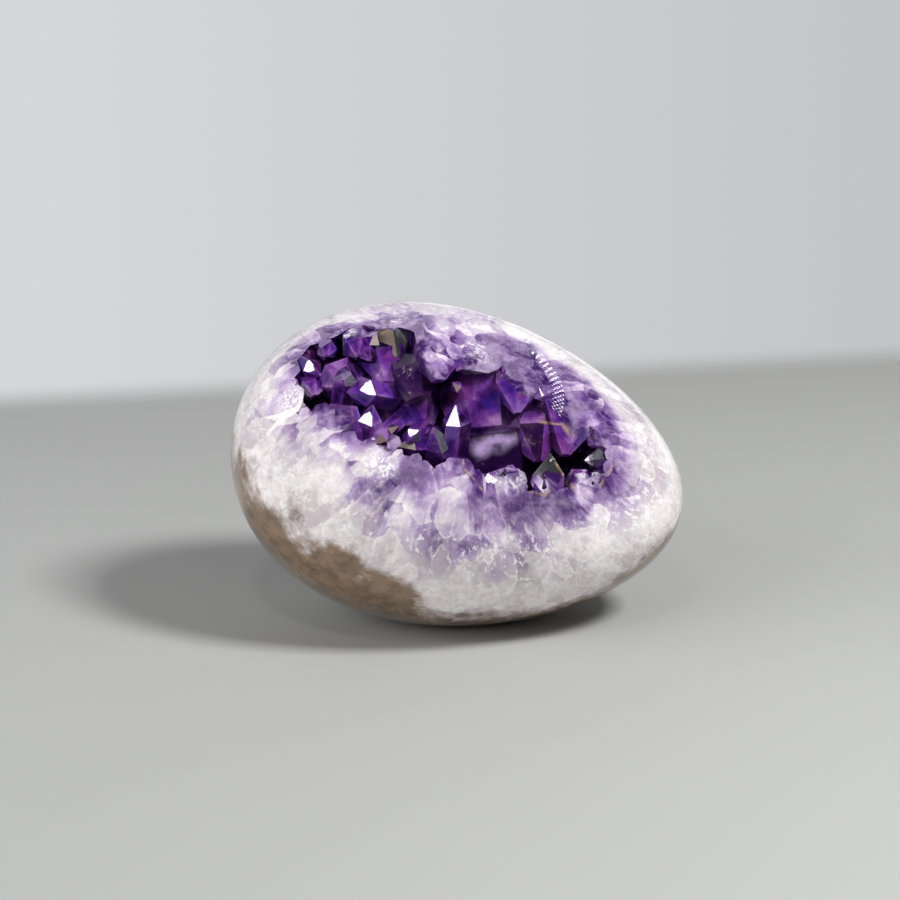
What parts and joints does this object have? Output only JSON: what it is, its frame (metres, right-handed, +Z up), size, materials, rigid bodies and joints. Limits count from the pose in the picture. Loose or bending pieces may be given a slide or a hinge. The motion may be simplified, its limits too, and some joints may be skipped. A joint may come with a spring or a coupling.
{
  "type": "geode egg",
  "caption": "Polished egg-shaped geode lying on its side, with an open hollow lined by faceted purple crystals.",
  "frame": {"origin": "in the plane of the small ground base, straight under the middle of the egg", "axes": "+X along the egg to its narrow end, +Y to its back, +Z up; the hollow opens to the front (-Y) and up"},
  "size_m": [0.0891, 0.0632, 0.0635],
  "materials": {
    "polished_quartz": "polished to a gloss",
    "amethyst": "glossy crystal faces, partly see-through"
  },
  "bodies": {
    "root": {"egg_stone": "polished_quartz", "crystal_crust": "amethyst"}
  },
  "joints": []
}
